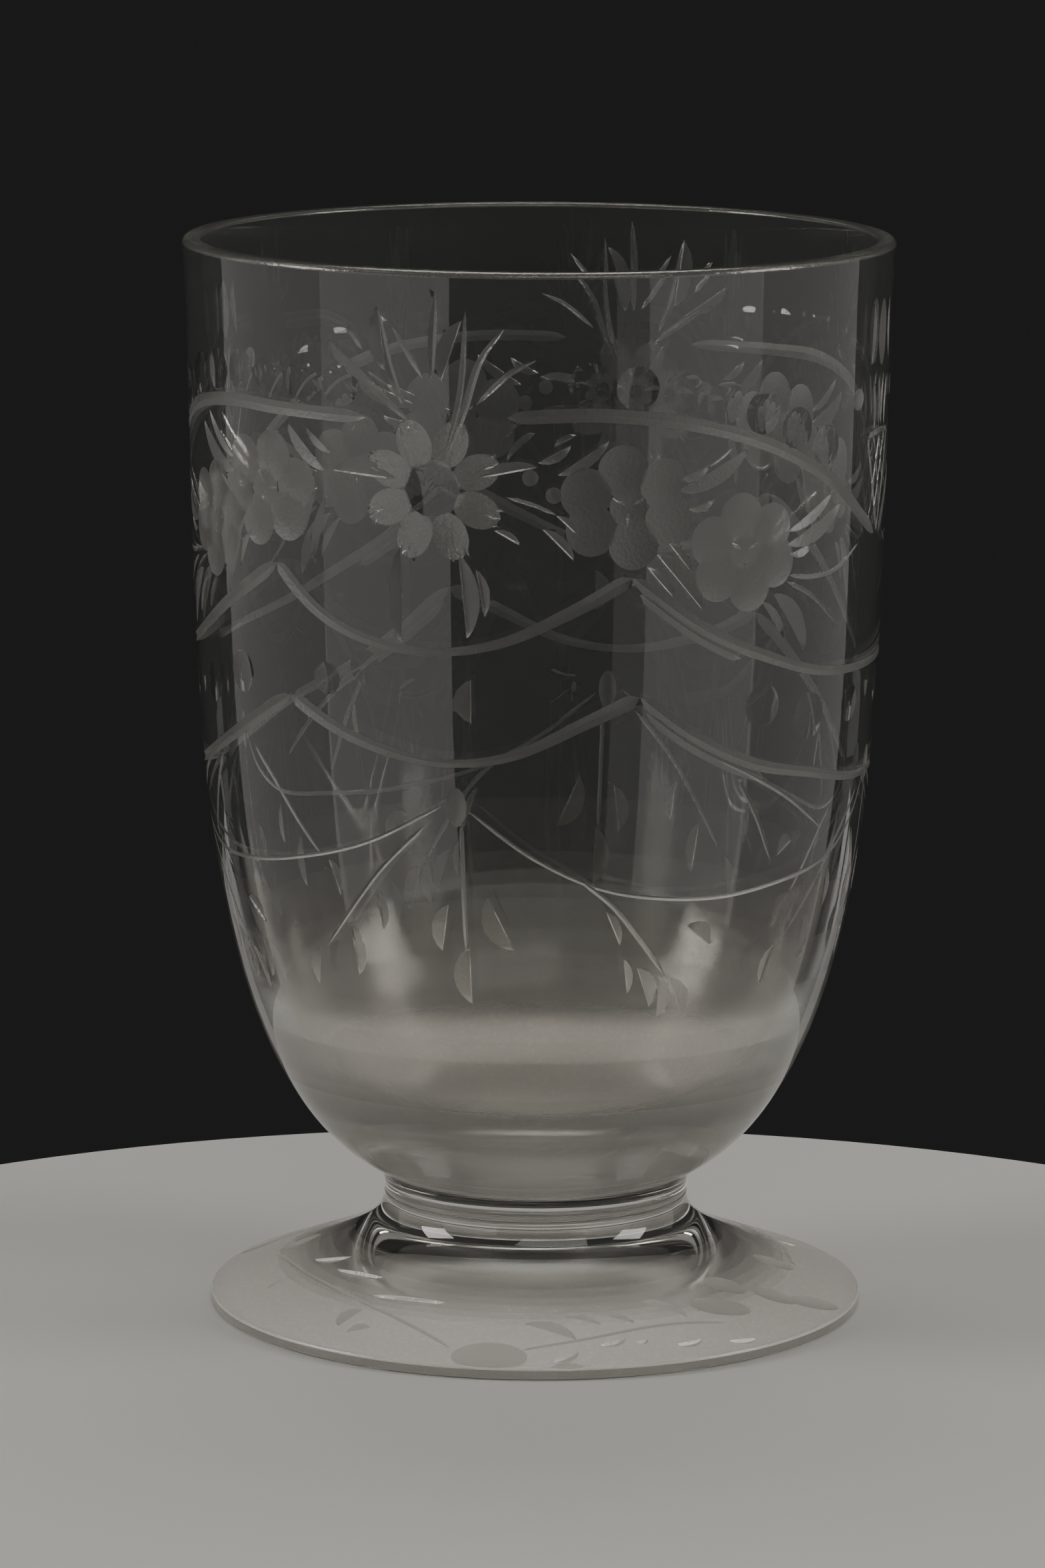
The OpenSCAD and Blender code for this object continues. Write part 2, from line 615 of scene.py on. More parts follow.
# Width and depth of the cuts that repeat
BAR = (1.35, 0.12)
SWAG = (1.6, 0.13)
SWAG_LEAD = (1.0, 0.11)
THREAD = (0.42, 0.1)
SPRIG_STEM = (0.5, 0.12)
LOW_STEM = (0.6, 0.13)
TENDRIL = (0.5, 0.13)
FLOWER_STROKE = (0.34, 0.29)
PETAL_HATCH = (0.3, 0.26)
HEART_STROKE = (0.24, 0.29)
BLADE_DEPTH = 0.2
LATTICE_DEPTH = 0.16
SPRIG_LEAF_DEPTH = 0.15
THREAD_BUD = (2.1, 0.24)

# Radius and depth of the round hollows that repeat
BAR_BEAD = (2.15, 0.17)
PETAL = (2.55, 0.28)
FLOWER_CENTRE = (1.9, 0.16)
SMALL_BEAD = (0.8, 0.12)
BERRY_DEPTH = 0.14

# How the two ends of a cut taper
ABRUPT = (0.05, 0.05)
SHARP_CORNER = (0.03, 0.03)
LATTICE_END = (0.04, 0.04)
POINTED = (0.3, 0.3)
STROKE = (0.4, 0.4)

# Angles of the basket and of the big flower
BASKET = 74
BOUQUET = -17

RIGHT_BAR = [(-5, 96), (10, 96.2), (25, 95), (40, 92.3), (55, 88), (65, 84), (72.5, 81.4)]
LEFT_BAR = [(75.5, 81.4), (83, 85.7), (93, 90.6), (105, 94), (120, 95.6), (135, 95.6), (151.8, 95.5)]
BEADS_ABOVE_BAR = 3


def at(angle, z):
    return np.array([(angle - MIDDLE) * SHEET, z])


def path(*places):
    return np.array([at(*place) for place in places])


def mirrored(places):
    """The same places on the other side of the basket."""
    return [(2 * BASKET - angle, z) for angle, z in places]


def outward(degrees):
    """The unit vector in a direction on the sheet."""
    turn = math.radians(degrees)
    return np.array([math.cos(turn), math.sin(turn)])


def bead(centre, radius, depth, finish=matte):
    x = np.array([radius, 0])
    return dish(centre - x, centre + x, 2 * radius, depth, finish)


def bar_with_beads(places, first, last, count):
    """A matte bar with a row of round hollows over it."""
    cuts = [groove(path(*places), *BAR, (0.03, 0.05))]
    for angle in np.linspace(first, last, count):
        z = np.interp(angle, [p[0] for p in places], [p[1] for p in places])
        cuts.append(bead(at(angle, z + BEADS_ABOVE_BAR), *BAR_BEAD, clear))
    return cuts


def swag(places, lead):
    """A festoon that is wide at its ends; lead is how much of it has a second cut just below."""
    line = through(path(*places))
    cuts = [groove(line, *SWAG, SHARP_CORNER, waist=0.5)]
    count = int(len(line) * lead)
    if count:
        below = line[1:count] - (0, 1.15)
        cuts.append(groove(below[::3], *SWAG_LEAD, (0.1, 0.06), ridge=0.65))
    return cuts


def swags():
    upper_narrow = [(-47, 80.2), (-38, 76), (-28, 73.6), (-17, 72.9), (-6, 74), (5, 77), (15, 80.3)]
    upper_wide = [(15, 80.3), (27, 75), (40, 71.5), (55, 69), (75, 68.4), (92, 69.2), (105, 71.3),
                  (120, 75.8), (133, 80.2)]
    lower_narrow = [(-44.5, 67.2), (-32, 63.9), (-18, 62), (-5, 62.7), (8, 66.2), (16.5, 68.5)]
    lower_wide = [(16.5, 68.5), (26, 64.3), (38, 60.9), (52, 59), (67, 57.3), (82, 57), (97, 57.4),
                  (115, 61), (135.5, 67.2)]
    return (swag(upper_narrow, 0) + swag(upper_wide, 0.2)
            + swag(lower_narrow, 0) + swag(lower_wide, 0.26))


def threads():
    """The thin lowest festoon, with a bud where its swags meet."""
    front = [(-11.5, 57.2), (0, 52.3), (13, 49), (30, 47.7), (45, 48.2), (60, 49.6), (70, 53), (75, 57)]
    side = [(78, 57), (90, 52.8), (105, 49.5), (120, 49.4), (135, 50.8), (150, 53.3), (164, 57.6)]
    cuts = [groove(path(*places), *THREAD, ABRUPT) for places in (front, side)]
    for angle in (-13.5, 76.5):
        cuts.append(dish(at(angle, 55.6), at(angle, 59.5), *THREAD_BUD))
    return cuts


def flower(angle, z, across, high, turn):
    """Six round petals about a centre of three little strokes."""
    centre = at(angle, z)
    cuts = [bead(centre + (across, high) * outward(turn + 60 * k), *PETAL) for k in range(6)]
    for k in range(3):
        out = outward(turn + 50 + 120 * k)
        # The three little strokes take the lighter painted-lit finish: painted highlights
        cuts.append(groove([centre + 0.4 * out, centre + 1.1 * out, centre + 1.9 * out],
                           *FLOWER_STROKE, POINTED, painted_lit_finish))
    cuts.append(bead(centre, *FLOWER_CENTRE))
    return cuts


def big_flower(angle, z):
    """The flower of the bouquet: an eight-sided clear heart, and broad petals with hatched ends, petals and
    hatches in the lighter painted-lit finish as painted highlights.
    """
    centre = at(angle, z)
    cuts = []
    for k in range(8):
        out = outward(22.5 + 45 * k)
        side = np.array([-out[1], out[0]])
        cuts.append(dish(centre + 2.4 * out, centre + 7.2 * out, 3.5, 0.12, painted_lit_finish))
        for m in (-1, 0, 1):
            start = centre + 5.6 * out + 0.8 * m * side
            cuts.append(groove([start, start + 0.9 * out, start + 1.7 * out + 0.2 * side],
                               *PETAL_HATCH, STROKE, painted_lit_finish))
    cuts.append(dish(centre - (2.8, 0), centre + (2.8, 0), 5.6, 0.29, clear, steps=8))
    for k in range(6):
        start = centre + (-1.5 + 0.6 * k, 0.9 * math.sin(2.4 * k))
        cuts.append(groove([start, start + (0.3, 0.5), start + (0.5, 1.1)], *HEART_STROKE, STROKE))
    return cuts


def spray():
    """Long blades that rise from the bouquet."""
    blades = [
        ([(-35, 102.6), (-29, 99.5), (-21.1, 95.5)], 0.9),
        ([(-31.6, 104.2), (-30, 103.2), (-28.6, 102)], 0.6),
        ([(-26, 106.4), (-24.4, 101.2), (-21.8, 96.9)], 0.9),
        ([(-23.6, 104.7), (-21.2, 102.3), (-18.4, 99.6)], 0.6),
        ([(-16.3, 108), (-16.8, 103.8), (-17.1, 99.5)], 0.8),
        ([(-11.5, 106.3), (-12.4, 98.5), (-15, 91.9)], 0.6),
        ([(-5.5, 104.6), (-9.3, 101.4), (-11.8, 96.6), (-15, 91.7)], 0.75),
        ([(-0.5, 101.6), (-4.3, 100.4), (-7.1, 98.9), (-9.8, 97.2)], 0.55)]
    # Each blade's left face takes the lighter painted-lit finish as a painted highlight, and its right face
    # is matte
    cuts = [groove(path(*places), width, BLADE_DEPTH, (0.35, 0.3), None) for places, width in blades]
    cuts.append(leaf(at(-26.6, 99), at(-35, 102.9), 1.3))
    cuts.append(leaf(at(-25.9, 106.2), at(-24.7, 100.2), -1.5))
    cuts.append(leaf(at(-12.1, 105.3), at(-15.4, 99.4), -1.5))
    return cuts


def leaf_sprays():
    """Half-moon leaves round the flowers; a negative width puts the belly on the right of the way."""
    near_basket = [
        ((43.8, 83.7), (55, 86.9), -1.1), ((43.8, 82.4), (57.7, 85.7), -1.7),
        ((44.5, 81.4), (50, 82.2), -0.9), ((38.5, 77), (43.5, 73), 1.0), ((41, 77.6), (48.7, 71.4), 2.0)]
    leaves = near_basket + [
        ((-0.2, 91.7), (4.9, 93.4), -0.9), ((2.9, 90.5), (10.9, 93.8), -1.1),
        ((2.7, 86.5), (6.3, 84.4), 0.7), ((0.5, 85.2), (5.5, 82.1), 0.9),
        ((22.1, 89.6), (28, 91), -0.8), ((22.4, 88.6), (35, 92.4), -1.6),
        ((24.3, 86.8), (28.9, 87.7), -0.8), ((18.9, 82.5), (27, 76.8), 1.7),
        ((17.3, 81.3), (21.8, 78.2), 0.8), ((21, 83.5), (24.6, 80.8), 0.8),
        ((-43.9, 94.4), (-36.1, 90), -1.3), ((-39.7, 94), (-34.8, 91.8), -0.8),
        ((110, 92.8), (121.8, 88.5), -1.8), ((112.7, 94.1), (121.8, 89.8), -1.0),
        ((115.9, 88.2), (120, 86.9), -0.8), ((-55.2, 84.4), (-61.5, 75.5), -1.7),
        ((-53.6, 83), (-56.8, 79.1), -0.8), ((-37.7, 88.2), (-40.4, 83.5), -0.9),
        ((-35.7, 87.5), (-38.4, 80.7), -1.0), ((-34.5, 90), (-23, 89.6), 1.9),
        ((-22.3, 83.2), (-22.3, 73.5), -1.4), ((-12.8, 82.5), (-11.5, 74.4), 1.7),
        ((-10, 81.2), (-8.7, 76.6), 1.0), ((-9.8, 90), (-0.2, 91.2), 1.1), ((-7.1, 85), (-3, 83.6), 0.7)]
    leaves += [(*mirrored([start, end]), -width) for start, end, width in near_basket]
    cuts = [leaf(at(*start), at(*end), width) for start, end, width in leaves]
    tendrils = [[(44.3, 79.3), (50, 78.8), (57, 79.1), (64.5, 81)], [(44, 78.7), (51, 76.6), (59, 73)]]
    # The tendrils' left faces, and the two short strokes wholly, take the lighter painted-lit finish: painted
    # highlights
    for places in tendrils + [mirrored(t) for t in tendrils]:
        cuts.append(groove(path(*places), *TENDRIL, (0.1, 0.3), None))
    cuts.append(groove(path((27.5, 90.7), (30, 91.6), (32, 92.5)), 0.3, 0.1, POINTED, painted_lit_finish))
    cuts.append(groove(path((-5.2, 88.3), (-1, 87.6), (2.7, 86.6)), 0.4, 0.1, (0.2, 0.2), painted_lit_finish))
    cuts.append(bead(at(-1.4, 90.2), *SMALL_BEAD))
    cuts.append(bead(at(2.3, 88.5), *SMALL_BEAD))
    return cuts


def basket():
    """A pointed basket of crossed lines, with a flame of blades and a ring over it."""
    top, tip, half = 91.4, 81.6, 6.7
    cuts = []

    # The crossed lines and the basket's top edge take the lighter painted-lit finish: painted highlights
    def line(upper, end, width):
        cuts.append(groove([upper, (upper + end) / 2, end], width, LATTICE_DEPTH, LATTICE_END, painted_lit_finish))

    for k in range(5):
        share = k / 4
        upper = at(BASKET - half + 2 * half * share, top)
        width = 0.55 if k in (0, 4) else 0.34
        if k < 4:
            line(upper, at(BASKET + half * share, tip + (top - tip) * share), width)
        if k > 0:
            line(upper, at(BASKET - half * (1 - share), tip + (top - tip) * (1 - share)), width)
    edge = path((BASKET - half, top), (BASKET, top + 0.3), (BASKET + half, top))
    cuts.append(groove(edge, 0.6, 0.18, LATTICE_END, painted_lit_finish))
    cuts.append(dish(at(BASKET, 98.2), at(BASKET, 104.9), 2.9, 0.28))
    flame = [((3.5, 91.9), (4.7, 97), 0.9), ((6, 98.5), (5.3, 104.8), 1.1), ((0.9, 92.2), (2, 97.4), 0.9)]
    for side in (-1, 1):
        for (low, low_z), (high, high_z), width in flame:
            foot, tip = at(BASKET + side * low, low_z), at(BASKET + side * high, high_z)
            cuts.append(leaf(foot, tip, side * width))
        cuts.append(dish(at(BASKET + side * 9, 95.5), at(BASKET + side * 13, 95.5), 2.2, 0.2))
    return cuts


def berries():
    """Shallow hollows between the two festoons."""
    places = [(-29, 71, 1.7), (-36.5, 69.4, 1.6), (-20, 68.3, 1.9), (3.5, 69.8, 1.9), (39.5, 66.6, 2.2),
              (50.8, 64.8, 2.4), (64, 65, 1.9), (-57.5, 68.6, 2.1), (-69, 66.5, 2.0), (88, 64.8, 2.1)]
    cuts = [bead(at(angle, z), radius, BERRY_DEPTH, clear) for angle, z, radius in places]
    cuts.append(leaf(at(-10.8, 66), at(-10.8, 70.3), 1.9, 0.2))
    return cuts


def sprig(axis):
    """A hanging sprig: three stems with drop-shaped leaves, about one axis."""
    def place(angle, z):
        return at(axis + angle, z)

    stems = [[(0, 56), (0.1, 50), (0.2, 43)],
             [(-6.3, 55.5), (-14.3, 51), (-21.3, 46.3), (-27.8, 42)],
             [(19.7, 50.4), (25.7, 47.5), (30.7, 44), (36.5, 39.8)]]
    leaves = [
        ((0.8, 43.2), (0.9, 37.4), -2.0), ((-2.6, 47.6), (-4.1, 42.8), -1.6),
        ((4.3, 48.5), (8.6, 43.2), -2.0), ((-15.8, 48.5), (-15.3, 44.4), 1.1),
        ((-21.9, 44.6), (-21.4, 39.4), 1.5), ((-29.5, 41.5), (-31.5, 37.6), -1.4),
        ((24.5, 47), (27.2, 43.5), 0.9), ((28.1, 42), (29.2, 38.4), 0.9), ((30.7, 41), (33.7, 36.8), 1.5),
        ((35, 40), (35.4, 35.6), 1.6), ((37.2, 39.6), (41, 35.4), 1.5), ((39.6, 44.9), (44.6, 42.8), 1.6)]
    cuts = [groove([place(*p) for p in stem], *SPRIG_STEM, (0.1, 0.15)) for stem in stems]
    cuts += [leaf(place(*start), place(*end), width, SPRIG_LEAF_DEPTH) for start, end, width in leaves]
    return cuts


def low_stems():
    """Straight stems that cross below the wide festoon."""
    stems = [[(30, 62), (45, 57.5), (57, 53)],
             [(35, 59.5), (39.5, 55.5), (44, 50.5)],
             [(37.6, 57), (37, 53)]]
    return [groove(path(*stem), *LOW_STEM, (0.1, 0.2)) for stem in stems + [mirrored(s) for s in stems]]


def bowl_ornament():
    """All cuts of half a turn of the bowl."""
    cuts = bar_with_beads(RIGHT_BAR, 8, 53, 7) + bar_with_beads(LEFT_BAR, 94, 147, 8)
    cuts += swags() + threads() + berries() + low_stems()
    cuts += flower(14.2, 87.2, 4.6, 3.6, 97) + flower(35, 82.1, 4.1, 3.4, 98)
    cuts += flower(130.4, 87.5, 4.7, 3.4, 75) + flower(114.5, 83.3, 4.1, 3.4, 82)
    cuts += big_flower(BOUQUET, 88.8) + spray() + leaf_sprays() + basket()
    return cuts + sprig(-12.7) + sprig(77.3)


# ---------------------------------------------------------------- ornament of the foot

FOOT_CUT = 0.29
FOOT_STEM = (0.42, 0.12)


def on_plan(angle, r):
    turn = math.radians(angle)
    return np.array([r * math.sin(turn), -r * math.cos(turn)])


def foot_ornament():
    """A wreath round the foot: curved stems, small leaves, and petals that run into the edge."""
    leaves = [
        ((-76.6, 23.3), (-65.5, 20.7), -1.1), ((-62.9, 22.7), (-45.3, 21.7), -1.0),
        ((-42.4, 24.4), (-22.5, 23.7), -1.3), ((-41.5, 29.9), (-40.4, 26.7), 1.7),
        ((-38.4, 30.6), (-34.5, 29.2), 1.2), ((-71.5, 28.8), (-71.9, 26.6), 0.7),
        ((-2.4, 26.4), (8, 29), 1.5), ((7, 25.2), (14.2, 26.9), 0.8), ((16.1, 25.4), (21.6, 27), 0.8),
        ((26.5, 23.8), (34.3, 27.1), 1.3), ((12.2, 29.9), (18, 29.1), -0.9),
        ((19.5, 29.9), (22.2, 29.6), -0.6), ((27.1, 30.9), (32.6, 30.7), -0.9),
        ((37.6, 31.6), (43.4, 32.2), -0.8), ((2.9, 32.2), (7.9, 30.8), -1.1)]
    petals = [
        ((37.9, 25.4), (50.5, 28.2), 3.0), ((49.2, 22.6), (57, 25.6), 2.7), ((58.5, 25.4), (64, 29.6), 2.8),
        ((63.5, 28.9), (71.3, 32.6), 2.6), ((79, 22.8), (83, 26.8), 2.6)]
    stems = [[(-95, 27.1), (-68, 24.9), (-42.5, 25.7), (-16.1, 30.7)],
             [(-2.9, 30.6), (2.5, 29.8), (12.4, 28.7), (30.1, 27.8), (41.1, 29)]]
    edge_dishes = [((-15.3, 31.9), (-1.5, 31.9), 4.4), ((2.4, 33.6), (8.6, 33.6), 1.8)]
    cuts = []
    for turn in (0, 180):
        def place(spot):
            return on_plan(spot[0] + turn, spot[1])

        cuts += [leaf(place(start), place(end), width, FOOT_CUT) for start, end, width in leaves]
        cuts += [dish(place(start), place(end), width, FOOT_CUT) for start, end, width in petals]
        cuts += [groove([place(spot) for spot in stem], *FOOT_STEM, ABRUPT) for stem in stems]
        cuts += [dish(place(start), place(end), width, FOOT_CUT) for start, end, width in edge_dishes]
    return cuts


def add_engraved_foot(skin, cuts):
    """The top of the foot with its wreath, from the foot's waist to its edge."""
    turn = column_angles()
    circle = np.stack([np.sin(turn), -np.cos(turn)], 1)
    outer = EDGE_TOP_R
    rings = np.linspace(CUT_IN_R, outer, FOOT_RINGS)
    seeds = np.vstack([r * circle[k % 2::2] for k, r in enumerate(rings[1:-1])])

    def inside(p):
        r = np.hypot(*p.T)
        return (r > CUT_IN_R * math.cos(math.radians(STEP / 2)) * 0.9999) & (r < outer)

    inner_cuts = [clipped(c, outer - 0.02) for c in cuts]
    film_steps = haze_edges(*FOOT_HAZE)
    film_steps = film_steps[(film_steps > CUT_IN_R + 0.3) & (film_steps < outer - 0.3)]
    borders = [(r * circle, True) for r in (rings[0], rings[-1], *film_steps)]
    sheet, tris = triangulate(borders, seeds, inner_cuts, inside)
    points = on_foot(sheet, cut_depth(cuts, sheet)[0])
    pulled = corners_of(sheet, tris)
    normals = steadied(points, tris, foot_normals(pulled, cut_slope(cuts, pulled)).reshape(-1, 3, 3))
    middle = sheet[tris].mean(1)
    slots = cut_finish(cuts, middle)
    film = haze_step(np.hypot(*middle.T), *FOOT_HAZE)
    skin.add(points, tris.tolist(), normals, np.where(slots == CLEAR, film, slots))


def clipped(cut, limit):
    """The same cut with outline and creases kept within a radius."""
    def keep(line):
        r = np.maximum(np.hypot(*line.T), 1e-6)
        return line * np.minimum(1, limit / r)[:, None]

    return Cut(keep(cut.outline), [keep(c) for c in cut.creases], cut.depth, cut.finish)


# ---------------------------------------------------------------- materials

# Scales are noise cells in a metre, and heights are metres
GLASS_IOR = 1.5
WAVE_SCALE = 60
WAVE_STRENGTH = 0.02
WAVE_HEIGHT = 0.001
GRAIN_HEIGHT = 0.0002
TINT_SCALE = 80
DUST_SCALE = 2200
DUST_LEVELS = (0.5, 0.72)


def glass(name, tint, roughness, transmission, grain=(900, 0.0), spread=0.0, dust=0.0):
    """Glass with a slow wave from blowing, and roughness that varies by spread. grain is the scale and
    strength of its fine texture. dust is how much darker the film is between its fine specks."""
    material = bpy.data.materials.new(name)
    material.use_nodes = True
    nodes, links = material.node_tree.nodes, material.node_tree.links
    shader = nodes["Principled BSDF"]
    shader.inputs["Transmission Weight"].default_value = transmission
    shader.inputs["IOR"].default_value = GLASS_IOR
    coords = nodes.new("ShaderNodeTexCoord").outputs["Object"]

    def noise(scale, detail):
        node = nodes.new("ShaderNodeTexNoise")
        node.inputs["Scale"].default_value = scale
        node.inputs["Detail"].default_value = detail
        links.new(coords, node.inputs["Vector"])
        return node.outputs["Fac"]

    def bump(scale, detail, strength, height):
        node = nodes.new("ShaderNodeBump")
        node.inputs["Strength"].default_value = strength
        node.inputs["Distance"].default_value = height
        links.new(noise(scale, detail), node.inputs["Height"])
        return node

    ramp = nodes.new("ShaderNodeValToRGB")
    first, last = ramp.color_ramp.elements
    darkest = 1 - (dust or 0.03)
    first.color = (*[c * darkest for c in tint], 1)
    last.color = (*tint, 1)
    if dust:
        first.position, last.position = DUST_LEVELS
    links.new(noise(DUST_SCALE if dust else TINT_SCALE, 3), ramp.inputs["Fac"])
    links.new(ramp.outputs["Color"], shader.inputs["Base Color"])
    if spread:
        span = nodes.new("ShaderNodeMapRange")
        span.inputs["To Min"].default_value = max(0, roughness - spread)
        span.inputs["To Max"].default_value = roughness + spread
        links.new(noise(grain[0] / 4, 4), span.inputs["Value"])
        links.new(span.outputs["Result"], shader.inputs["Roughness"])
    else:
        shader.inputs["Roughness"].default_value = roughness
    wave = bump(WAVE_SCALE, 1, WAVE_STRENGTH, WAVE_HEIGHT)
    fine = bump(grain[0], 2, grain[1], GRAIN_HEIGHT)
    links.new(wave.outputs["Normal"], fine.inputs["Normal"])
    links.new(fine.outputs["Normal"], shader.inputs["Normal"])
    return material


def unseen_joint(prefix):
    """The fused faces inside the glass, which light passes without bending."""
    material = bpy.data.materials.new(prefix + "_fused_joint")
    material.use_nodes = True
    material.node_tree.nodes["Principled BSDF"].inputs["Alpha"].default_value = 0
    return material


# Tints, transmission, and (scale, strength) of each grain
CLEAR_TINT = (0.965, 0.975, 0.96)
CLEAR_THROUGH = 0.99
# Faces painted as lit: a lighter tint, and this much less transmission so that more light is scattered, make
# a painted highlight
PAINTED_LIT_TINT = (0.96, 0.95, 0.92)
PAINTED_LIT_LESS = 0.055
CUT_GRAIN = (2500, 0.25)
RIM_TINT = (0.84, 0.84, 0.77)
RIM_GRAIN = (1800, 0.3)
FILM_GRAIN = 6000
FILM_STRENGTH = 0.06
FILM_DUST = 0.12


def finish_of(slot, prefix, engraving, film):
    """The material of one slot on one piece. engraving is the tint and transmission of its wheel cuts,
    and film the tint, transmission and roughness of its thickest film of dust."""
    if slot == CLEAR:
        return glass(prefix + "_clear", CLEAR_TINT, 0.0, CLEAR_THROUGH)
    if slot == CUT:
        tint, through = engraving
        return glass(prefix + "_wheel_cut", tint, 0.38, through, grain=CUT_GRAIN, spread=0.08)
    # The cut finish made smoother, which is a real polish, and also lighter and more scattering, which is a
    # painted highlight
    if slot == PAINTED_LIT:
        through = engraving[1] - PAINTED_LIT_LESS
        return glass(prefix + "_painted_lit_cut", PAINTED_LIT_TINT, 0.16, through, grain=CUT_GRAIN, spread=0.06)
    if slot == GROUND:
        return glass(prefix + "_ground_rim", RIM_TINT, 0.12, 0.94, grain=RIM_GRAIN, spread=0.05)
    if slot == JOINT:
        return unseen_joint(prefix)
    return haze(prefix, slot - HAZE + 1, *film)


def haze(prefix, step, tint, least, roughness):
    """One step of the film of dust; the last step is the thickest."""
    share = step / HAZE_STEPS
    return glass(f"{prefix}_haze_{step}", tint, roughness * share,
                 CLEAR_THROUGH - (CLEAR_THROUGH - least) * share,
                 grain=(FILM_GRAIN, FILM_STRENGTH * share), dust=FILM_DUST)


def haze_step(place, clear_at, full_at):
    """Slots at heights or radii: clear glass at clear_at, growing to the fullest haze at full_at."""
    share = np.clip((place - clear_at) / (full_at - clear_at), 0, 1)
    step = np.round(share ** HAZE_CURVE * HAZE_STEPS).astype(int)
    return np.where(step == 0, CLEAR, HAZE + step - 1)


def haze_edges(clear_at, full_at):
    """Heights or radii where the haze changes from one slot to the next."""
    share = ((np.arange(HAZE_STEPS) + 0.5) / HAZE_STEPS) ** (1 / HAZE_CURVE)
    return clear_at + (full_at - clear_at) * share


def haze_rows(profile, coordinate, limits):
    """Slot of each row of a profile, by its height (coordinate 1) or radius (coordinate 0)."""
    return haze_step((profile[1:, coordinate] + profile[:-1, coordinate]) / 2, *limits)


# ---------------------------------------------------------------- the three pieces of glass

def make_bowl():
    """Plain foot of the bowl, engraved wall, ground lip, inside and floor, and the face on the collar."""
    skin = Skin()
    z = heights(SEAT_Z, CUT_LOW_Z, 26, 1.6)
    skin.lathe(np.stack([outer_r(z), z], 1), outer_normals(z), CLEAR)
    add_engraved_bowl(skin, bowl_ornament())
    lip_out, lip_in = outer_r(LIP_TOP_OUT), inner_r(LIP_TOP_IN)
    lip = np.vstack([arc((lip_out - LIP_ROUND_OUT, LIP_TOP_OUT), LIP_ROUND_OUT, 0, 90),
                     arc((lip_in + LIP_ROUND_IN, LIP_TOP_IN), LIP_ROUND_IN, 90, 180)])
    wall_z = heights(inner_z(np.array([INNER_TURN_R]))[0], LIP_TOP_IN, 60, 1.4)[::-1]
    floor_r = np.linspace(INNER_TURN_R, 0, 24)
    inside = np.vstack([np.stack([inner_r(wall_z[1:-1]), wall_z[1:-1]], 1),
                        np.stack([floor_r, inner_z(floor_r)], 1)])
    skin.lathe(lip, right_of(lip, before=np.array([lip_out, LIP_TOP_OUT - 0.1]), after=inside[0]), GROUND)
    inside = np.vstack([lip[-1:], inside])
    normals = right_of(inside, before=lip[-2])
    normals[-1] = (0, 1)
    skin.lathe(inside, normals, haze_rows(inside, 1, BOWL_HAZE))
    seat = np.array([(0, SEAT_Z), (outer_r(SEAT_Z), SEAT_Z)], float)
    skin.lathe(seat, right_of(seat), JOINT)
    skin.piece("bowl_glass", "bowl",
               engraving=((0.84, 0.83, 0.8), 0.965), film=((0.92, 0.88, 0.82), 0.73, 0.32))


def make_collar():
    """The waisted side of the collar, and its faces on the foot and under the bowl."""
    skin = Skin()
    low_edge = arc((WAIST_R - COLLAR_ROUND, WAIST_Z + COLLAR_ROUND), COLLAR_ROUND, -90, 0, 4)
    side = cubic((WAIST_R, WAIST_Z + COLLAR_ROUND), (WAIST_R - 0.05, WAIST_Z + 1.2),
                 (WAIST_R + 0.15, SEAT_Z - 0.6), (SEAT_R, SEAT_Z), 16)
    wall = np.vstack([low_edge, side[1:]])
    skin.lathe(wall, right_of(wall), CLEAR)
    under = np.array([(0, WAIST_Z), (WAIST_R - COLLAR_ROUND, WAIST_Z)])
    skin.lathe(under, right_of(under), JOINT)
    top = np.array([(SEAT_R, SEAT_Z), (0, SEAT_Z)], float)
    skin.lathe(top, right_of(top), JOINT)
    skin.piece("collar_glass", "stem_collar")


def make_foot():
    """The foot's neck, its face under the collar, its engraved top and its edge."""
    skin = Skin()
    cuts = foot_ornament()
    neck = FOOT_TOP[FOOT_TOP[:, 0] < CUT_IN_R][::12][::-1]
    neck = np.vstack([[CUT_IN_R, foot_z(CUT_IN_R)], neck])
    skin.lathe(neck, right_of(neck), CLEAR)
    ring = np.array([(WAIST_R, WAIST_Z), (WAIST_R - COLLAR_ROUND, WAIST_Z), (0, WAIST_Z)], float)
    skin.lathe(ring, right_of(ring), [CLEAR, JOINT])
    add_engraved_foot(skin, cuts)
    add_foot_edge(skin, cuts)
    skin.piece("foot_glass", "foot",
               engraving=((0.77, 0.76, 0.73), 0.68), film=((0.97, 0.95, 0.91), 0.56, 0.3))


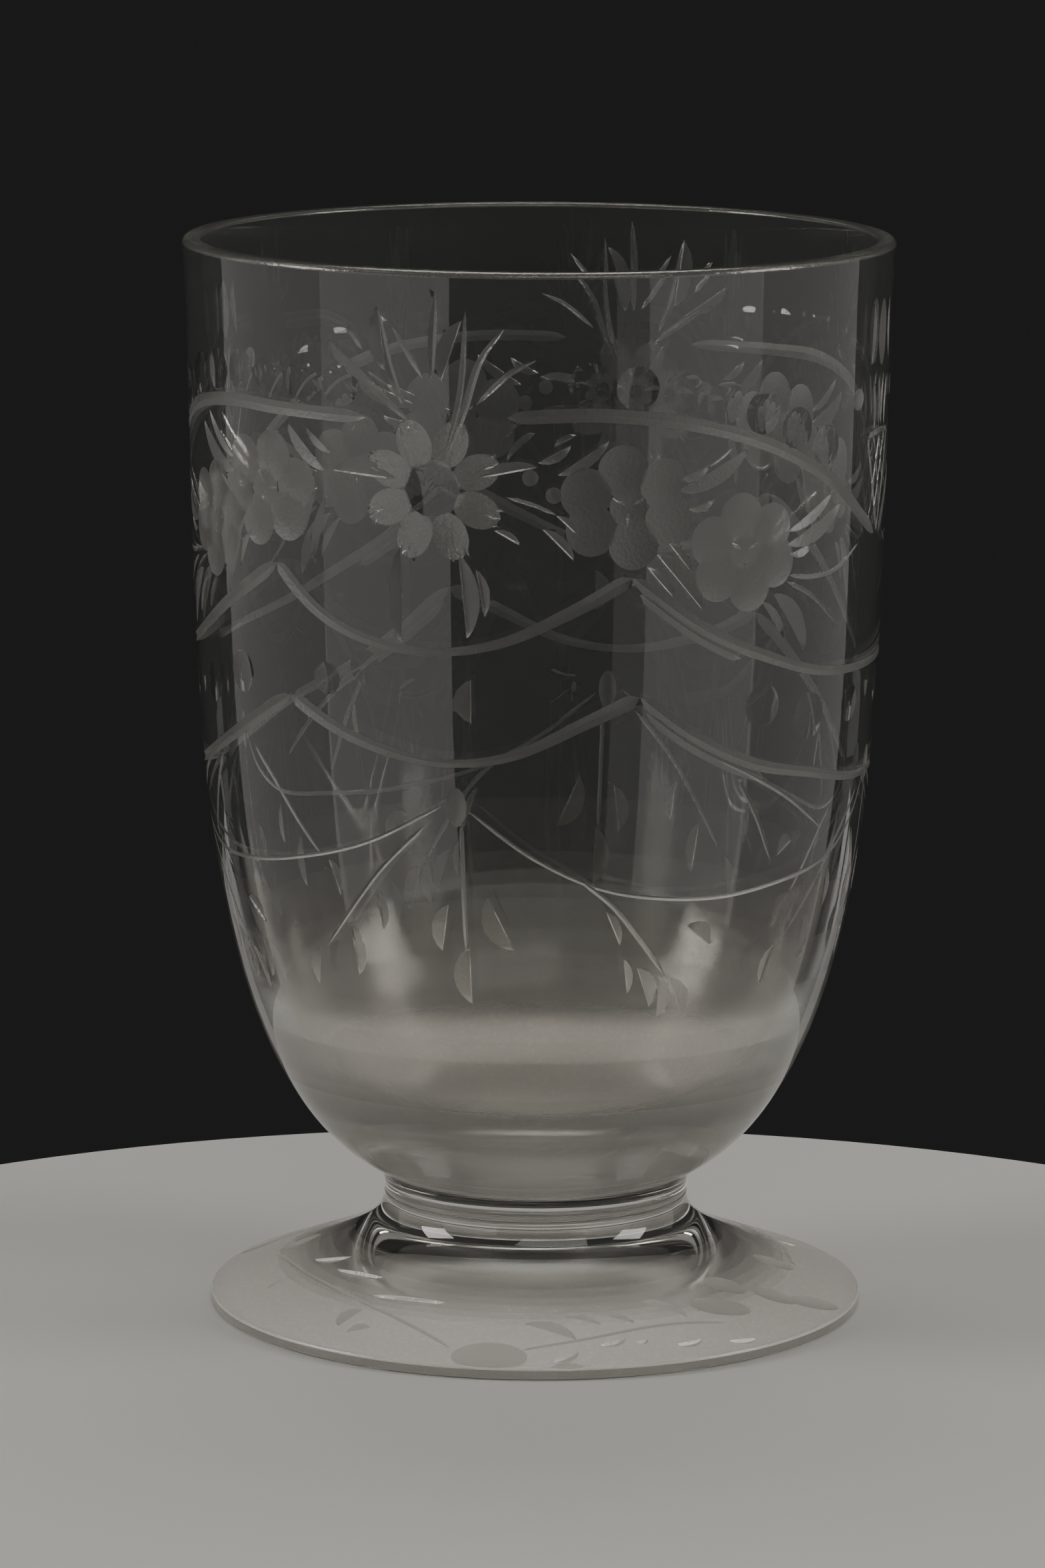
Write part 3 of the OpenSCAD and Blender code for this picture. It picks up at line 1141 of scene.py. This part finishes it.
def add_foot_edge(skin, cuts):
    """Rim of the foot, its resting ring and the hollow underneath."""
    rest_r = FOOT_R - EDGE_ROUND - REST_W
    dome_r = (rest_r ** 2 + HOLLOW_H ** 2) / (2 * HOLLOW_H)
    dome = np.linspace(0, rest_r, 30)
    hollow = np.stack([dome, HOLLOW_H - dome_r + np.sqrt(dome_r ** 2 - dome ** 2)], 1)
    skin.lathe(hollow, right_of(hollow), haze_rows(hollow, 0, FOOT_HAZE))
    rest = np.array([(rest_r, 0), (FOOT_R - EDGE_ROUND, 0)])
    skin.lathe(rest, right_of(rest), GROUND)
    top_z = foot_z(EDGE_TOP_R)
    middle_z = top_z - EDGE_SOFT * math.sin(EDGE_TURN)
    edge = np.vstack([arc((FOOT_R - EDGE_ROUND, EDGE_ROUND), EDGE_ROUND, -90, 0),
                      arc((FOOT_R - EDGE_SOFT, middle_z), EDGE_SOFT, 0, math.degrees(EDGE_TURN))])
    angle = column_angles()
    sunk = cut_depth(cuts, EDGE_TOP_R * np.stack([np.sin(angle), -np.cos(angle)], 1))[0]
    share = np.clip((edge[:, 1] - middle_z) / (top_z - middle_z), 0, 1)
    # The rounded upper corner of the edge takes the lighter painted-lit finish: a painted highlight line
    # along the top of the edge
    slots = np.where(edge[1:, 1] > middle_z + 0.05, PAINTED_LIT, CLEAR)
    skin.lathe(edge, right_of(edge), slots, np.outer(sunk, share).ravel())


# ---------------------------------------------------------------- stage, light and camera

# The floor and the room, in metres
STAGE_R = 0.105
STAGE_FORWARD = 0.03
STAGE_TOP = -2e-5
STAGE_SIDES = 128
STAGE_COLOUR = (0.5, 0.5, 0.485)
STAGE_ROUGHNESS = 0.6
ROOM_LEVEL = 0.014

# All lights face the middle of the tumbler. Panels and cards: name, azimuth, elevation, (width, height)
# and power. Azimuth 0 is on the camera's side and 90 on its right.
LIGHT_TARGET = (0, 0, 0.055)
LIGHT_COLOUR = (1.0, 0.97, 0.92)
PANEL_DISTANCE = 1.0
CARD_DISTANCE = 0.8
PANELS = [
    ("left_panel", -84, 26, (0.4, 0.4), 5.0),
    ("right_panel", 80, 26, (0.4, 0.4), 4.2),
    ("front_panel", 15, 44, (0.8, 0.4), 2.2),
    ("top_panel", 180, 68, (0.6, 0.4), 3.0)]
EDGE_CARDS = [
    ("left_edge_card", -156, -25, (0.16, 0.3), 0.04),
    ("right_edge_card", 152, -25, (0.16, 0.3), 0.04)]
MIRRORED_CARDS = [
    ("left_window_card", -51, -8, (0.66, 0.9), 1.9),
    ("right_window_card", 55, -8, (0.58, 0.9), 1.1),
    ("right_window_halo", 50, -8, (0.76, 0.9), 0.75),
    ("left_side_card", -98, -8, (0.72, 0.9), 1.1),
    ("right_side_card", 99.4, -8, (0.72, 0.9), 1.05)]

CAMERA_PLACE = (-0.0015, -0.6791, 0.1787)
CAMERA_DOWN = 10.42
CAMERA_ROLL = 0.2
CAMERA_LENS = 155.1
CAMERA_SENSOR = 36


def plain(name, colour, roughness):
    material = bpy.data.materials.new(name)
    material.use_nodes = True
    shader = material.node_tree.nodes["Principled BSDF"]
    shader.inputs["Base Color"].default_value = (*colour, 1)
    shader.inputs["Roughness"].default_value = roughness
    return material


def make_floor():
    """A pale disc just under the foot, moved toward the camera."""
    turn = np.linspace(0, 2 * math.pi, STAGE_SIDES, endpoint=False)
    mesh = bpy.data.meshes.new("floor")
    ring = [(STAGE_R * math.sin(t), STAGE_R * math.cos(t) - STAGE_FORWARD, STAGE_TOP) for t in turn]
    mesh.from_pydata(ring[::-1], [], [range(STAGE_SIDES)])
    mesh.materials.append(plain("pale_floor", STAGE_COLOUR, STAGE_ROUGHNESS))
    floor = bpy.data.objects.new("floor", mesh)
    bpy.context.scene.collection.objects.link(floor)


def soft_light(name, azimuth, elevation, size, power, distance, through):
    """A large soft panel. One that is not through is only mirrored by the glass, and does not shine
    through it."""
    a, e = math.radians(azimuth), math.radians(elevation)
    way = Vector((math.sin(a) * math.cos(e), -math.cos(a) * math.cos(e), math.sin(e)))
    data = bpy.data.lights.new(name, "AREA")
    data.shape = "RECTANGLE"
    data.size, data.size_y = size
    data.energy = power
    data.color = LIGHT_COLOUR
    light = bpy.data.objects.new(name, data)
    light.location = Vector(LIGHT_TARGET) + distance * way
    light.rotation_euler = way.to_track_quat("Z", "Y").to_euler()
    light.visible_camera = False
    light.visible_transmission = through
    bpy.context.scene.collection.objects.link(light)


def make_lights():
    for panel in PANELS:
        soft_light(*panel, PANEL_DISTANCE, through=True)
    for card in EDGE_CARDS:
        soft_light(*card, CARD_DISTANCE, through=True)
    for card in MIRRORED_CARDS:
        soft_light(*card, CARD_DISTANCE, through=False)


def make_world():
    world = bpy.data.worlds.new("dark_room")
    world.use_nodes = True
    level = (ROOM_LEVEL, ROOM_LEVEL, ROOM_LEVEL, 1)
    world.node_tree.nodes["Background"].inputs["Color"].default_value = level
    bpy.context.scene.world = world


def make_camera():
    data = bpy.data.cameras.new("camera")
    data.sensor_fit = "VERTICAL"
    data.sensor_height = CAMERA_SENSOR
    data.lens = CAMERA_LENS
    camera = bpy.data.objects.new("camera", data)
    tilt, roll = math.radians(90 - CAMERA_DOWN), math.radians(CAMERA_ROLL)
    camera.matrix_world = (Matrix.Translation(CAMERA_PLACE)
                           @ Matrix.Rotation(tilt, 4, "X") @ Matrix.Rotation(roll, 4, "Z"))
    bpy.context.scene.collection.objects.link(camera)
    bpy.context.scene.camera = camera


make_camera()
make_world()
make_floor()
make_lights()
make_bowl()
make_collar()
make_foot()
